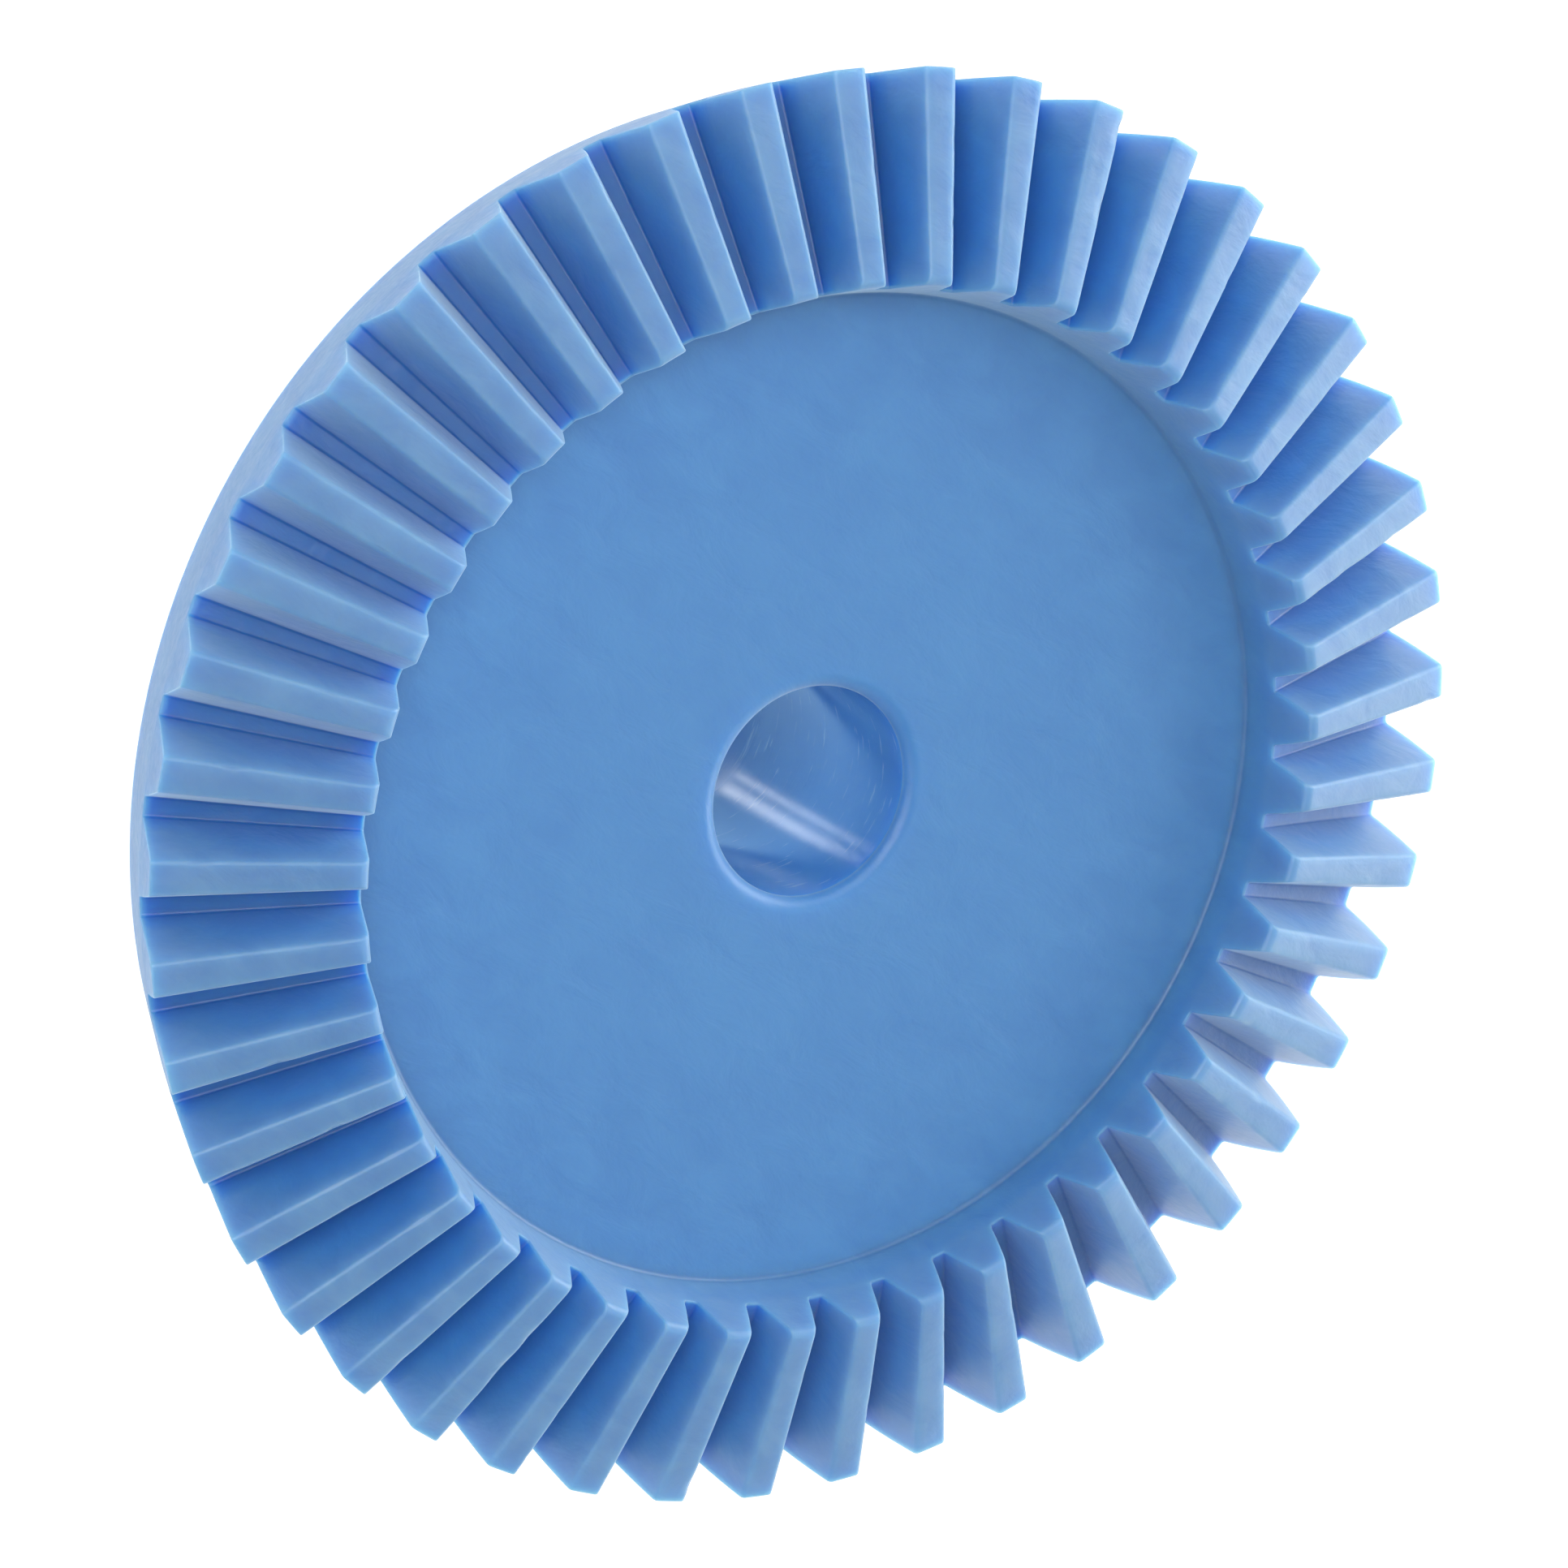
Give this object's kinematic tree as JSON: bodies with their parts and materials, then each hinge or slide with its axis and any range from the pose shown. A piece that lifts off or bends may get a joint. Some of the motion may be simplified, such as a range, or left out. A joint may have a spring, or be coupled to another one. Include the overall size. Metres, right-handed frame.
{
  "type": "straight bevel gear",
  "caption": "Straight bevel gear in blue nylon with a dished web, plain bore and rear hub held to a shaft by hub set screws.",
  "frame": {"origin": "on the bore axis at the hub's end face", "axes": "+Z along the bore axis towards the teeth; a tooth is centred on +X; set screw A lies along +X and set screw B along -Y"},
  "size_m": [0.068, 0.068, 0.0203],
  "materials": {
    "nylon": "satin machined cast nylon, slightly translucent",
    "insert_brass": "turned and knurled",
    "screw_steel": "black oxide"
  },
  "bodies": {
    "gear": {"gear_body": "nylon", "screw_insert_a": "insert_brass", "screw_insert_b": "insert_brass"},
    "screw_a": {"set_screw_a": "screw_steel"},
    "screw_b": {"set_screw_b": "screw_steel"}
  },
  "joints": [
    {"name": "screw_a_travel", "type": "slide", "parent": "gear", "child": "screw_a", "axis": [1, 0, 0], "range_m": [-0.0003, 0.008]},
    {"name": "screw_b_travel", "type": "slide", "parent": "gear", "child": "screw_b", "axis": [0, -1, 0], "range_m": [-0.0003, 0.008]}
  ]
}
